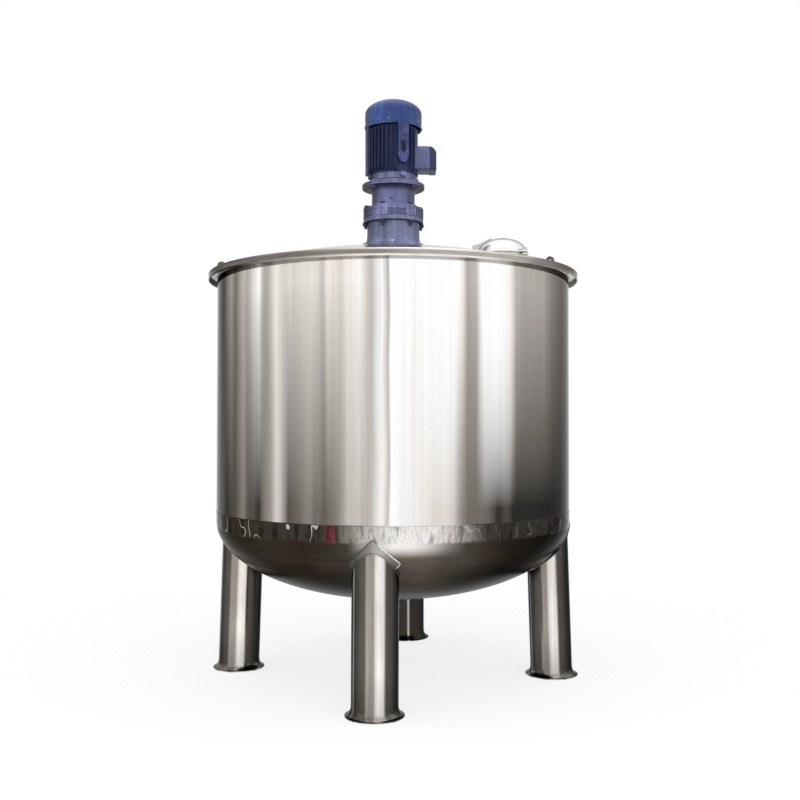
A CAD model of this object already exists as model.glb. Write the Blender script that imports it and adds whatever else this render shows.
"""Looks of the mixing tank: polished and satin steel, welds, enamelled drive, agitator, and the studio.

Units are metres and +Z is up. Turns are in degrees on the plan, from the front (-Y) towards +X.
"""

import math

import bmesh
import bpy
import numpy as np
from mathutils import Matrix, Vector


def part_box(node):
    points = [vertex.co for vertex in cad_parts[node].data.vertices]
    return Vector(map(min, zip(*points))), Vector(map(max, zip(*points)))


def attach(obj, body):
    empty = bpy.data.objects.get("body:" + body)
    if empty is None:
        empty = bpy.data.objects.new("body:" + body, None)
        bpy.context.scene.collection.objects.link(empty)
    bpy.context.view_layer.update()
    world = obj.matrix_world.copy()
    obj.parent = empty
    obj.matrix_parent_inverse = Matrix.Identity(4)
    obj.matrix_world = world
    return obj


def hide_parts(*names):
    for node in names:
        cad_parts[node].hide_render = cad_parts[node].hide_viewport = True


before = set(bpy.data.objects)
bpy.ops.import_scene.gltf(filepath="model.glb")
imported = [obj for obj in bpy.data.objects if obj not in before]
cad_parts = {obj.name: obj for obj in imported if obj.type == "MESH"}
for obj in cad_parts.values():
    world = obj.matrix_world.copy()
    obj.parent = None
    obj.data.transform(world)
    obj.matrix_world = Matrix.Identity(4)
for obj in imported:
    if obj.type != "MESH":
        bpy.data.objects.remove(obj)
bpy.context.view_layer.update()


# Bottom head: 4 mm stainless sheet, spun to a shallow dish with a short straight flange above it,
# and brushed to a dark satin. The outlet nozzle is welded into a hole in its middle.
VESSEL_RADIUS = 0.600
VESSEL_WALL = 0.004
HEAD_FLANGE = 0.030
HEAD_DEPTH = 0.264
NOZZLE_HOLE = 0.0193
HEAD_ROUND_STEPS = 192
DISH_STEPS = 64
SEAM_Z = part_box("bottom_head")[1].z
TANGENT_Z = SEAM_Z - HEAD_FLANGE


def grid_faces(rows, columns, rows_meet):
    """Quads between neighbours of a grid whose columns go round, and whose rows do where they meet."""
    i = np.arange(rows if rows_meet else rows - 1)[:, None]
    j = np.arange(columns)[None, :]
    corners = ((i, j), (i, j + 1), (i + 1, j + 1), (i + 1, j))
    return np.stack([(a % rows) * columns + b % columns for a, b in corners], -1).reshape(-1, 4)


def surface(name, grids, rows_meet=False, sharp=40.0):
    """One mesh from a grid of points (rows, columns, 3), or from a list of them. Points that
    coincide are merged, which closes seams and poles, and the faces are turned outwards."""
    points, faces, start = [], [], 0
    for grid in grids if isinstance(grids, list) else [grids]:
        rows, columns = np.shape(grid)[:2]
        points.append(np.reshape(grid, (-1, 3)))
        faces.append(grid_faces(rows, columns, rows_meet) + start)
        start += rows * columns
    mesh = bpy.data.meshes.new(name)
    mesh.from_pydata(np.concatenate(points), [], np.concatenate(faces).tolist())
    shape = bmesh.new()
    shape.from_mesh(mesh)
    bmesh.ops.remove_doubles(shape, verts=shape.verts, dist=0.000002)
    bmesh.ops.recalc_face_normals(shape, faces=shape.faces)
    shape.to_mesh(mesh)
    shape.free()
    mesh.shade_smooth()
    mesh.set_sharp_from_angle(angle=math.radians(sharp))
    piece = bpy.data.objects.new(name, mesh)
    bpy.context.scene.collection.objects.link(piece)
    return piece


def full_turn(steps):
    return np.linspace(0.0, math.tau, steps, endpoint=False)


def turned(profile, sides=96, centre=(0.0, 0.0)):
    """Lathe surface: each profile point (radius, height) goes once round the centre."""
    angle = full_turn(sides)
    radius, height = np.asarray(profile, float).T
    x = centre[0] + radius[:, None] * np.sin(angle)
    y = centre[1] - radius[:, None] * np.cos(angle)
    return np.stack([x, y, np.broadcast_to(height[:, None], x.shape)], -1)


def softened(corners, steps=5):
    """Profile whose corners (radius, height, reach) are rounded: from a reach before the corner to
    a reach after it runs the parabola (1-t)^2 A + 2t(1-t) C + t^2 B."""
    corners = np.asarray(corners, float)
    tip, reach = corners[:, :2], corners[:, 2:]
    back = np.roll(tip, 1, 0) - tip
    ahead = np.roll(tip, -1, 0) - tip
    start = tip + back / np.linalg.norm(back, axis=1, keepdims=True) * reach
    end = tip + ahead / np.linalg.norm(ahead, axis=1, keepdims=True) * reach
    t = np.linspace(0.0, 1.0, steps)[None, :, None]
    curve = (1 - t) ** 2 * start[:, None] + 2 * t * (1 - t) * tip[:, None] + t ** 2 * end[:, None]
    return curve.reshape(-1, 2)


def dish_line(offset):
    """Quarter ellipse of the dish, an offset outside it: radius a cos t, height tangent - b sin t."""
    t = np.linspace(0.0, math.acos(NOZZLE_HOLE / VESSEL_RADIUS), DISH_STEPS)
    return np.stack([(VESSEL_RADIUS + offset) * np.cos(t), TANGENT_Z - (HEAD_DEPTH + offset) * np.sin(t)], -1)


def node(tree, kind, settings=(), inputs=()):
    """Adds a shader node; an input takes a plain value or another node's output."""
    item = tree.nodes.new(kind)
    for key, value in dict(settings).items():
        setattr(item, key, value)
    for key, value in dict(inputs).items():
        if isinstance(value, bpy.types.NodeSocket):
            tree.links.new(value, item.inputs[key])
        else:
            item.inputs[key].default_value = value
    return item


def math_node(tree, operation, first, second=0.0, third=0.0):
    inputs = {0: first, 1: second, 2: third}
    return node(tree, "ShaderNodeMath", {"operation": operation}, inputs).outputs[0]


def times(tree, first, second):
    return math_node(tree, "MULTIPLY", first, second)


def between(tree, value, low, high, to_low=0.0, to_high=1.0, smooth=False):
    """Value carried from the range low-high to another, and held at its ends."""
    kind = {"interpolation_type": "SMOOTHSTEP" if smooth else "LINEAR"}
    ends = {0: value, 1: low, 2: high, 3: to_low, 4: to_high}
    return node(tree, "ShaderNodeMapRange", kind, ends).outputs[0]


def spread(tree, grain, low, high):
    """Noise, most of which lies from 0.3 to 0.7, carried to the range low-high."""
    return between(tree, grain, 0.3, 0.7, low, high)


def blend_colour(tree, share, first, second, mode="MIX"):
    settings = {"data_type": "RGBA", "blend_type": mode}
    return node(tree, "ShaderNodeMix", settings, {0: share, 6: first, 7: second}).outputs[2]


def lit(tree, colour, light):
    """Colour times a number."""
    return node(tree, "ShaderNodeVectorMath", {"operation": "SCALE"}, {0: colour, "Scale": light}).outputs[0]


def own_place(tree):
    """Place in the piece's own coordinates."""
    return node(tree, "ShaderNodeTexCoord").outputs["Object"]


def noise(tree, scale, stretch=(1.0, 1.0, 1.0), detail=4.0, roughness=0.55):
    """Noise on the piece's own coordinates, drawn out along an axis where its stretch is small."""
    drawn = node(tree, "ShaderNodeMapping", {}, {"Vector": own_place(tree), "Scale": stretch}).outputs[0]
    values = {"Vector": drawn, "Scale": scale, "Detail": detail, "Roughness": roughness}
    return node(tree, "ShaderNodeTexNoise", {}, values).outputs["Fac"]


def bump(tree, height, distance):
    inputs = {"Strength": 1.0, "Distance": distance, "Height": height}
    return node(tree, "ShaderNodeBump", {}, inputs).outputs[0]


def empty_material(name):
    material = bpy.data.materials.new(name)
    material.use_nodes = True
    return material, material.node_tree, material.node_tree.nodes["Principled BSDF"]


def set_inputs(tree, shader, **values):
    for key, value in values.items():
        socket = shader.inputs[key.replace("_", " ")]
        if isinstance(value, bpy.types.NodeSocket):
            tree.links.new(value, socket)
        else:
            socket.default_value = value


def tone(level, warmth=0.0):
    """Reflectance for a level from 0 to 255 as the eye sees it, a little redder where warm."""
    share = (level / 255) ** 2.2
    return (share * (1 + warmth), share, share * (1 - warmth), 1.0)


def bands(tree, place, stops):
    """Colour ramp over a share of the way round; its stops are turns with a colour or a number."""
    ramp = node(tree, "ShaderNodeValToRGB", {}, {0: place})
    elements = ramp.color_ramp.elements
    elements.remove(elements[1])
    for number, (turn, colour) in enumerate(stops):
        element = elements[0] if number == 0 else elements.new((turn + 180) / 360)
        element.color = colour if isinstance(colour, tuple) else (colour, colour, colour, 1.0)
    return ramp.outputs[0]


def tones(tree, place, rows):
    """Bands of tone; a row is a turn with a colour, or with a level and its warmth."""
    return bands(tree, place, [
        (turn, first if isinstance(first, tuple) else tone(first, *warmth)) for turn, first, *warmth in rows
    ])


def round_share(tree, where=None):
    """Share of the way round an axis, from 0 at the back by the left, front and right to 1, and
    the height. Where no position is given, the axis is the tank's."""
    axes = node(tree, "ShaderNodeSeparateXYZ", {}, {0: where or own_place(tree)}).outputs
    turn = math_node(tree, "ARCTAN2", axes[0], times(tree, axes[1], -1.0))
    return math_node(tree, "MULTIPLY_ADD", turn, 1 / math.tau, 0.5), axes[2]


DULL_GRAZING = tone(184)


def ends_of(solid):
    """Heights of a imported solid's lowest and highest points."""
    low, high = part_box(solid)
    return low.z, high.z


def dress(piece, material, stands_for=(), body="tank"):
    """Gives a finished piece its material, its body and the solids it stands for."""
    piece.data.materials.clear()
    piece.data.materials.append(material)
    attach(piece, body)
    if stands_for:
        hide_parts(*stands_for)


def dish_steel():
    """Dark satin dish, greasy-bright under the shell's front, with a polished knuckle above that
    breaks the mirrored room up into upright patches and thin bright curves."""
    material, tree, shader = empty_material("dish_steel")
    place, height = round_share(tree)
    rings = noise(tree, 14.0, (0.25, 0.25, 6.0), 5.0, 0.6)
    clouds = noise(tree, 4.0, (1.0, 1.0, 1.5), 4.0, 0.6)
    round_dish = tones(tree, place, (
        (-180, 62, 0.15), (-92, 48, 0.2), (-47, 50, 0.28), (-27, 43, 0.35), (-15, 60, 0.2),
        (0, 86, 0.2), (8, 90, 0.2), (14, 78, 0.2), (20, 67, 0.18), (28, 48, 0.25),
        (36, 37, 0.3), (50, 28, 0.28), (88, 30, 0.2), (135, 62, 0.15), (179, 62, 0.15),
    ))
    middle, low = TANGENT_Z - 0.150, TANGENT_Z - 0.200
    upper = between(tree, height, middle, TANGENT_Z - 0.085, 0.70, 1.0)
    fall = times(tree, upper, between(tree, height, low, middle, 0.75, 1.0))
    light = times(tree, fall, spread(tree, clouds, 0.75, 1.3))
    satin = lit(tree, round_dish, times(tree, light, spread(tree, rings, 0.85, 1.15)))
    glare = bands(tree, place, (
        (-180, 0.0), (-12, 0.0), (0, 0.9), (6, 0.85), (10, 0.6), (16, 0.15), (21, 0.0), (179, 0.0),
    ))
    glare = times(tree, glare, between(tree, height, TANGENT_Z - 0.068, TANGENT_Z - 0.026, 0.0, 1.0, True))
    satin = blend_colour(tree, glare, satin, tone(250, 0.03))
    upright = noise(tree, 34.0, (1.0, 1.0, 0.22), 4.0, 0.7)
    pick = between(tree, upright, 0.32, 0.68)
    patches = tones(tree, pick, (
        (-180, 90), (-70, 130, 0.08), (-30, 205, 0.06), (20, 225, 0.05), (40, 254),
        (75, 190, 0.06), (120, 215, 0.06), (160, 254),
    ))
    round_knuckle = tones(tree, place, (
        (-180, 95), (-92, 56, 0.1), (-47, 60, 0.25), (-30, 64, 0.15), (-18.6, 66, 0.12),
        (-18, (0.25, 0.05, 0.06, 1.0)), (-16, (0.25, 0.05, 0.06, 1.0)), (-15.4, 90, 0.12), (-11, 150, 0.08),
        (-5, 215), (2, 254), (11, 252), (16, 220, 0.03), (20, 165, 0.04),
        (26, 80, 0.1), (32, 58, 0.1), (50, 60, 0.1), (88, 60), (179, 95),
    ))
    mirror = blend_colour(tree, 1.0, patches, round_knuckle, "MULTIPLY")
    mirror = blend_colour(tree, 0.25, mirror, round_knuckle)
    curves = noise(tree, 9.0, (1.0, 1.0, 0.6), 2.0, 0.6)
    swirl = math_node(tree, "ABSOLUTE", math_node(tree, "SUBTRACT", curves, 0.5))
    bright = bands(tree, place, (
        (-180, 0.3), (-60, 0.5), (-24, 0.6), (-12, 0.2), (18, 0.25), (28, 0.08), (62, 0.08), (88, 0.4),
        (179, 0.3),
    ))
    bright = times(tree, bright, between(tree, swirl, 0.008, 0.003))
    mirror = blend_colour(tree, bright, mirror, tone(235, 0.04))
    knuckle = between(tree, height, TANGENT_Z - 0.026, TANGENT_Z - 0.014, 0.0, 1.0, True)
    set_inputs(
        tree, shader, Base_Color=blend_colour(tree, knuckle, satin, mirror), Metallic=1.0,
        Normal=bump(tree, rings, 0.00003), Specular_Tint=DULL_GRAZING,
        Roughness=between(tree, knuckle, 0.0, 1.0, 0.27, 0.10),
    )
    return material


head_outside = np.concatenate([[(VESSEL_RADIUS, SEAM_Z)], dish_line(0.0)])
head_inside = np.concatenate([dish_line(-VESSEL_WALL)[::-1], [(VESSEL_RADIUS - VESSEL_WALL, SEAM_Z)]])
head_grid = turned(np.concatenate([head_outside, head_inside]), HEAD_ROUND_STEPS)
dress(surface("dished_bottom", head_grid, True), dish_steel(), ["bottom_head"])


# Shell: one sheet rolled to a drum, polished to a mirror, with its long seam at the back ground flush.
# A mirror drum draws whatever stands round it out into upright bands, paler above, dark at the foot.
SHELL_ROUND_STEPS = 240
SHELL_WAVE = 0.00025
GRAZING = tone(188)
GLOW, CREAM, PEARL, OAT, MAUVE = tone(255), tone(236, 0.07), tone(215, 0.06), tone(190, 0.07), tone(168, 0.07)
STONE, OLIVE, UMBER, SOOT = tone(132, 0.1), tone(108, 0.12), tone(80, 0.14), tone(46, 0.1)
LEFT_BANDS = (
    (-180, OAT, STONE), (-125, STONE, UMBER), (-95, OLIVE, UMBER), (-82, SOOT, SOOT),
    (-64.5, SOOT, UMBER), (-61, STONE, SOOT), (-57.5, MAUVE, UMBER), (-54.5, OLIVE, UMBER),
    (-50, OAT, STONE), (-47.5, MAUVE, UMBER), (-45, PEARL, UMBER), (-42, GLOW, SOOT),
    (-40.5, MAUVE, OLIVE), (-38.5, MAUVE, STONE), (-36.5, PEARL, MAUVE), (-35, CREAM, PEARL),
    (-33, PEARL, MAUVE), (-31, PEARL, UMBER), (-26.5, PEARL, OLIVE), (-24.5, PEARL, STONE),
    (-23, PEARL, OLIVE), (-20.2, PEARL, OLIVE), (-19.3, MAUVE, UMBER), (-18.3, CREAM, OLIVE),
    (-15, PEARL, STONE), (-12, CREAM, OAT), (-9, GLOW, OAT), (-8, PEARL, MAUVE), (-5.5, OAT, OAT),
    (-3.4, GLOW, GLOW), (-2.2, GLOW, CREAM), (-1.2, MAUVE, OAT),
)
RIGHT_BANDS = (
    (-0.6, OAT, PEARL), (0.6, GLOW, GLOW), (11, GLOW, PEARL), (16.5, GLOW, PEARL), (18.2, GLOW, MAUVE),
    (19.6, CREAM, STONE), (21, MAUVE, OLIVE), (24, OAT, OLIVE), (25.2, GLOW, OLIVE), (27, GLOW, OLIVE),
    (31, GLOW, SOOT), (34.5, GLOW, UMBER), (36.2, CREAM, SOOT), (37.8, OAT, SOOT), (40.5, MAUVE, SOOT),
    (47, MAUVE, SOOT), (51, MAUVE, SOOT), (57, STONE, SOOT), (65, OLIVE, SOOT), (82, OLIVE, SOOT),
    (95, STONE, UMBER), (135, PEARL, STONE), (179, OAT, STONE),
)


def mirror_steel():
    """Mirror-polished sheet: broad upright bands, each with its tone at the top and its tone at the
    foot, reached soon or late as the turn has it, and finer polishing streaks over them."""
    material, tree, shader = empty_material("mirror_steel")
    place, height = round_share(tree)
    sway = spread(tree, noise(tree, 1.6, detail=2.0), -0.0012, 0.0012)
    place = math_node(tree, "ADD", place, sway)
    right = between(tree, place, 0.4972, 0.4982)
    delay = bands(tree, place, (
        (-180, 0.8), (8, 0.75), (11, 2.4), (16.5, 2.4), (18.5, 0.9), (25, 0.85), (26.5, 2.4), (35, 2.4),
        (37.5, 0.9), (179, 0.8),
    ))
    down = math_node(tree, "POWER", between(tree, height, 1.26, 0.60), delay)
    top, foot = (
        blend_colour(tree, right, *(
            bands(tree, place, [(row[0], row[level]) for row in side]) for side in (LEFT_BANDS, RIGHT_BANDS)
        ))
        for level in (1, 2)
    )
    sheet = blend_colour(tree, down, top, foot)
    streaks = noise(tree, 55.0, (1.0, 1.0, 0.010), 6.0, 0.75)
    wide = noise(tree, 15.0, (1.0, 1.0, 0.02), 3.0, 0.6)
    light = times(tree, spread(tree, streaks, 0.90, 1.12), between(tree, wide, 0.35, 0.65, 0.95, 1.05))
    set_inputs(
        tree, shader, Base_Color=lit(tree, sheet, light), Metallic=1.0, Specular_Tint=GRAZING,
        Roughness=spread(tree, streaks, 0.06, 0.12),
    )
    return material


shell_low, shell_high = ends_of("shell_plate_1")
shell_z = np.linspace(shell_high, shell_low, 40)
shell_grid = turned(np.concatenate([
    np.stack([np.full(40, VESSEL_RADIUS), shell_z], -1),
    np.stack([np.full(40, VESSEL_RADIUS - VESSEL_WALL), shell_z[::-1]], -1),
]), SHELL_ROUND_STEPS)
shell_turn = np.arctan2(shell_grid[..., 0], -shell_grid[..., 1])
wave = np.sin(3 * shell_turn + 7 * shell_grid[..., 2]) * np.sin(5 * shell_turn - 4 * shell_grid[..., 2])
shell_grid[..., :2] *= (1 - SHELL_WAVE / VESSEL_RADIUS * (1 - wave))[..., None]
shell = surface("polished_shell", shell_grid, True)
dress(shell, mirror_steel(), [f"shell_plate_{n + 1}" for n in range(6)])


# Welds of the vessel: a ground bead round the seam between shell and bottom, and the long seam.
SEAM_BEAD = 0.0016
BEAD_SIDES = 10
EVENLY = (1.0, 1.0, 1.0)
WHITE = (1.0, 1.0, 1.0, 1.0)


def tube(path, radius, closed=False):
    """Round bead along a path: circles in the plane across it, drawn to points at open ends."""
    path = np.asarray(path, float)
    ahead = np.roll(path, -1, 0) - np.roll(path, 1, 0) if closed else np.gradient(path, axis=0)
    ahead /= np.linalg.norm(ahead, axis=1, keepdims=True)
    spare = np.where(np.abs(ahead[:, 2:]) > 0.9, (1.0, 0.0, 0.0), (0.0, 0.0, 1.0))
    side = np.cross(ahead, spare)
    side /= np.linalg.norm(side, axis=1, keepdims=True)
    up = np.cross(side, ahead)
    angle = full_turn(BEAD_SIDES)[None, :, None]
    ring = path[:, None] + radius * (np.cos(angle) * side[:, None] + np.sin(angle) * up[:, None])
    if closed:
        return ring
    ends = [np.repeat(path[n][None, None], BEAD_SIDES, 1) for n in (0, -1)]
    return np.concatenate([ends[0], ring, ends[1]])


def bead(name, path, radius, material):
    """Weld bead along a path that closes on itself."""
    piece = surface(name, tube(path, radius, closed=True), True)
    dress(piece, material)
    return piece


def ring_path(radius, z, steps=240):
    angle = full_turn(steps)
    return np.stack([radius * np.sin(angle), -radius * np.cos(angle), np.full(steps, z)], -1)


def worked_steel(
    name, colour, roughness, stretch=EVENLY, scale=60.0, shade=0.16, rough=0.10, grain=0.00002, grazing=WHITE,
):
    """Bare steel with the marks of a grinding belt drawn out one way, and slow clouds of tone."""
    material, tree, shader = empty_material(name)
    marks = noise(tree, scale, stretch, 6.0, 0.65)
    clouds = noise(tree, 5.0, (1.0, 1.0, 0.6), 3.0)
    scratches, stains = spread(tree, marks, 1 - shade, 1 + shade), spread(tree, clouds, -shade, shade)
    light = math_node(tree, "ADD", scratches, stains)
    set_inputs(
        tree, shader, Base_Color=lit(tree, colour, light), Metallic=1.0, Normal=bump(tree, marks, grain),
        Specular_Tint=grazing,
        Roughness=spread(tree, marks, roughness - rough * roughness, roughness + rough),
    )
    return material


def leg_place(tree):
    """Place from the leg's own axis, which note_axis writes on the leg's pieces."""
    return node(tree, "ShaderNodeAttribute", {"attribute_name": "from_axis"}).outputs["Vector"]


def catching_steel(name, stops, roughness, on_leg=True, grazing=DULL_GRAZING, ripple=0.00008, metallic=1.0):
    """Steel whose tone goes round the leg that it belongs to, or round the tank, with fine ripples."""
    material, tree, shader = empty_material(name)
    place = round_share(tree, leg_place(tree) if on_leg else None)[0]
    ripples = noise(tree, 160.0, detail=5.0)
    skin = lit(tree, tones(tree, place, stops), spread(tree, ripples, 0.8, 1.2))
    set_inputs(
        tree, shader, Base_Color=skin, Metallic=metallic, Normal=bump(tree, ripples, ripple),
        Specular_Tint=grazing, Roughness=spread(tree, ripples, roughness, roughness + 0.1),
    )
    return material


weld_steel = worked_steel(
    "weld_steel", (0.22, 0.20, 0.185), 0.20, scale=300.0, shade=0.25, rough=0.12, grain=0.0001,
)
seam_stops = (
    (-180, 90), (-92, 50), (-30, 48, 0.1), (-10, 110), (0, 215), (16, 190), (24, 66),
    (88, 50), (179, 90),
)
seam_steel = catching_steel("seam_steel", seam_stops, 0.2, on_leg=False, ripple=0.0)
bead("seam_weld", ring_path(VESSEL_RADIUS - SEAM_BEAD * 0.5, SEAM_Z), SEAM_BEAD, seam_steel)
long_seam = np.array([(0.0, VESSEL_RADIUS - SEAM_BEAD * 0.6, z) for z in (shell_low, shell_high - 0.01)])
dress(surface("long_seam_weld", tube(long_seam, SEAM_BEAD)), weld_steel)


# Outlet: a 38 mm tube welded into the lowest point of the dish, with a clamp ferrule on its end.
outlet_low, outlet_high = ends_of("bottom_outlet")
OUTLET_TUBE, OUTLET_BORE, FERRULE, FERRULE_LIP, PIPE_BEAD = 0.0190, 0.0175, 0.02525, 0.003, 0.0022


def lathed(name, corners, sides=96, rows_meet=True, centre=(0.0, 0.0)):
    """Turned piece whose profile is given by its corners."""
    return surface(name, turned(softened(corners), sides, centre), rows_meet)


outlet_piece = lathed("outlet_nozzle", [
    (OUTLET_BORE, outlet_high, 0), (OUTLET_TUBE, outlet_high, 0),
    (OUTLET_TUBE, outlet_low + FERRULE_LIP * 2, 0.002), (FERRULE, outlet_low + FERRULE_LIP, 0.0006),
    (FERRULE, outlet_low, 0.0006), (FERRULE - 0.004, outlet_low, 0.0004),
    (FERRULE - 0.005, outlet_low + 0.0012, 0.0003), (OUTLET_BORE + 0.001, outlet_low + 0.0012, 0.0003),
    (OUTLET_BORE, outlet_low, 0.0003),
], 48)
pipe_steel = worked_steel("pipe_steel", (0.135, 0.120, 0.108), 0.20, (1.0, 1.0, 0.03), shade=0.10, rough=0.06)
dress(outlet_piece, pipe_steel, ["bottom_outlet"])
nozzle_z = TANGENT_Z - HEAD_DEPTH
bead("outlet_weld", ring_path(OUTLET_TUBE + 0.0005, nozzle_z, 48), PIPE_BEAD, weld_steel)


# Leg pads: four square doublers of 5 mm plate, pressed to the dish, set corner up and welded all
# round, so that the legs' load spreads into the thin bottom.
LEG_TURNS = (("front", -5.44), ("right", 84.56), ("back", 174.56), ("left", 264.56))
LEG_CIRCLE, LEG_LEAN = 0.540, 0.030553
CATCH_TURNS = {"front": 4.0, "right": -74.0, "back": 180.0, "left": -8.0}
PAD_CIRCLE = 0.570
PAD_HALF = 0.0555
PAD_CORNER = 0.012
PAD_PLATE = 0.005
PAD_BEAD = 0.0026
GAP = 0.0003
UP = np.array([0.0, 0.0, 1.0])


def plan(turn, radius, z=0.0):
    """Point or points at a turn from the front, a radius and a height."""
    angle = np.radians(turn)
    return np.stack(np.broadcast_arrays(radius * np.sin(angle), -radius * np.cos(angle), z), -1)


def pad_frame(turn):
    """Middle of the pad on the dish, its way across, its way down the dish, and its outward normal."""
    depth = math.sqrt(1 - (PAD_CIRCLE / VESSEL_RADIUS) ** 2)
    middle = plan(turn, PAD_CIRCLE, TANGENT_Z - HEAD_DEPTH * depth)
    slope = math.atan2(PAD_CIRCLE * HEAD_DEPTH, VESSEL_RADIUS ** 2 * depth)
    out = plan(turn, 1.0)
    across = plan(turn + 90, 1.0)
    down = -math.cos(slope) * out - math.sin(slope) * UP
    return middle, across, down, math.sin(slope) * out - math.cos(slope) * UP


def onto_dish(points, normal, offset):
    """Carries points along the normal to the ellipsoid an offset outside the dish: the root of
    a t^2 + 2 b t + c = 0 that lies on their side of it."""
    scale = 1 / np.array([VESSEL_RADIUS + offset, VESSEL_RADIUS + offset, HEAD_DEPTH + offset])
    here = (points - (0.0, 0.0, TANGENT_Z)) * scale
    way = normal * scale
    a, b, c = way @ way, here @ way, (here * here).sum(-1) - 1
    return points + ((-b + np.sqrt(np.maximum(b * b - a * c, 0.0))) / a)[..., None] * normal


def rounded_square(half, corner):
    """Square with round corners as a polar curve, turned corner up: the reach of each angle."""
    angle = full_turn(72)
    power = 2 + 2.2 * half / corner
    across, up = np.abs(np.cos(angle + math.pi / 4)), np.abs(np.sin(angle + math.pi / 4))
    return angle, half / (across ** power + up ** power) ** (1 / power)


def pad_grid(turn):
    """Pad as rings from its middle out along the outer face, round the rim and back underneath."""
    middle, across, down, normal = pad_frame(turn)
    angle, reach = rounded_square(PAD_HALF, PAD_CORNER)
    flat = np.cos(angle)[:, None] * across + np.sin(angle)[:, None] * down
    shares = np.concatenate([np.linspace(0, 0.97, 10), [0.99, 1.0, 1.0, 0.99], np.linspace(0.97, 0, 4)])
    top, low = GAP + PAD_PLATE, GAP
    rim = [top - 0.0004, top - 0.0014, low + 0.0014, low + 0.0004]
    lifts = np.concatenate([np.full(10, top), rim, np.full(4, low)])
    return np.stack([
        onto_dish(middle + share * reach[:, None] * flat, normal, lift) for share, lift in zip(shares, lifts)
    ])


def note_axis(piece, turn, light_turn):
    """Keeps each point's place about the leg's own axis, turned so that its stripe meets the light."""
    points = np.empty(len(piece.data.vertices) * 3)
    piece.data.vertices.foreach_get("co", points)
    points = points.reshape(-1, 3)
    own = points + plan(turn, LEG_LEAN) * points[:, 2:] - plan(turn, LEG_CIRCLE)
    c, s = math.cos(math.radians(light_turn)), math.sin(math.radians(light_turn))
    turned_own = np.stack([c * own[:, 0] + s * own[:, 1], c * own[:, 1] - s * own[:, 0], own[:, 2]], -1)
    attribute = piece.data.attributes.new("from_axis", "FLOAT_VECTOR", "POINT")
    attribute.data.foreach_set("vector", turned_own.ravel())
    return piece


pad_metal = catching_steel("pad_steel", (
    (-180, 90, 0.1), (-100, 62, 0.1), (-50, 80, 0.1), (-20, 128, 0.09), (-4, 165, 0.06),
    (10, 178, 0.05), (30, 120, 0.08), (60, 84, 0.1), (100, 60, 0.1), (179, 90, 0.1),
), 0.22)
pad_weld = catching_steel("pad_weld_steel", (
    (-180, 90, 0.1), (-100, 60, 0.1), (-60, 80, 0.1), (-20, 125, 0.08), (-2, 150, 0.05),
    (5, 248), (62, 235), (75, 100, 0.1), (110, 60, 0.1), (179, 90, 0.1),
), 0.16)
for side, turn in LEG_TURNS:
    pad = note_axis(surface(f"pad_{side}", pad_grid(turn)), turn, CATCH_TURNS[side])
    dress(pad, pad_metal, [f"leg_pad_{side}"])
    middle, across, down, normal = pad_frame(turn)
    angle, reach = rounded_square(PAD_HALF + 0.001, PAD_CORNER)
    edge = middle + reach[:, None] * (np.cos(angle)[:, None] * across + np.sin(angle)[:, None] * down)
    round_pad = bead(f"pad_weld_{side}", onto_dish(edge, normal, 0.0008), PAD_BEAD, pad_weld)
    note_axis(round_pad, turn, CATCH_TURNS[side])


# Legs: 139.7 mm stainless pipe, cut to the dish at the top and welded to the pad, with a spun
# trumpet foot whose lip is rolled and stands on the floor.
LEG_RADIUS = 0.06985
FOOT_RADIUS = 0.088
FOOT_RISE = 0.032
FOOT_LIP = 0.0035
LEG_STEPS = 96


def leg_top(x, y, highest):
    """Height of the leg's cut: the dish outside the pad, or the flat top where that is lower."""
    offset = GAP + PAD_PLATE + GAP
    share = np.minimum(np.hypot(x, y) / (VESSEL_RADIUS + offset), 1.0)
    return np.minimum(TANGENT_Z - (HEAD_DEPTH + offset) * np.sqrt(1 - share ** 2), highest)


def leaned(grid, turn):
    """Leg's points moved in towards the tank by the lean times their height."""
    return grid - plan(turn, LEG_LEAN) * np.asarray(grid)[..., 2:]


def cut_height(x, y, turn, highest):
    """Height where an upright line of the leg meets its cut once it leans, found by repetition."""
    z = np.full(np.shape(x), highest)
    for _ in range(12):
        point = leaned(np.stack([x, y, z], -1), turn)
        z = 0.5 * z + 0.5 * leg_top(point[..., 0], point[..., 1], highest)
    return z


def leg_wall(turn, highest):
    """Leg as rings from the floor out to the lip, up the flare and the pipe, and in over the cut."""
    middle = plan(turn, LEG_CIRCLE)
    angle = full_turn(LEG_STEPS)
    flare = np.linspace(0.0, math.pi / 2, 12)
    lip = [
        (0.0, 0.0), (FOOT_RADIUS - 0.006, 0.0), (FOOT_RADIUS - 0.0012, 0.0), (FOOT_RADIUS, 0.0010),
        (FOOT_RADIUS, 0.0026),
    ]
    curve = np.stack([
        FOOT_RADIUS - (FOOT_RADIUS - LEG_RADIUS) * np.sin(flare),
        FOOT_LIP + (FOOT_RISE - FOOT_LIP) * (1 - np.cos(flare)),
    ], -1)
    foot = turned(np.concatenate([lip, curve]), LEG_STEPS, middle[:2])
    x = middle[0] + LEG_RADIUS * np.sin(angle)
    y = middle[1] - LEG_RADIUS * np.cos(angle)
    top = cut_height(x, y, turn, highest)
    pipe = [
        np.stack([x, y, FOOT_RISE + (top - FOOT_RISE) * share], -1) for share in np.linspace(0.1, 1.0, 10)
    ]
    cap = []
    for share in np.linspace(0.96, 0.0, 8):
        cap_x, cap_y = middle[0] + (x - middle[0]) * share, middle[1] + (y - middle[1]) * share
        cap.append(np.stack([cap_x, cap_y, cut_height(cap_x, cap_y, turn, highest)], -1))
    walls = np.concatenate([foot, np.stack(pipe), np.stack(cap)])
    return leaned(walls, turn), leaned(np.stack([x, y, top], -1), turn)


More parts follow.
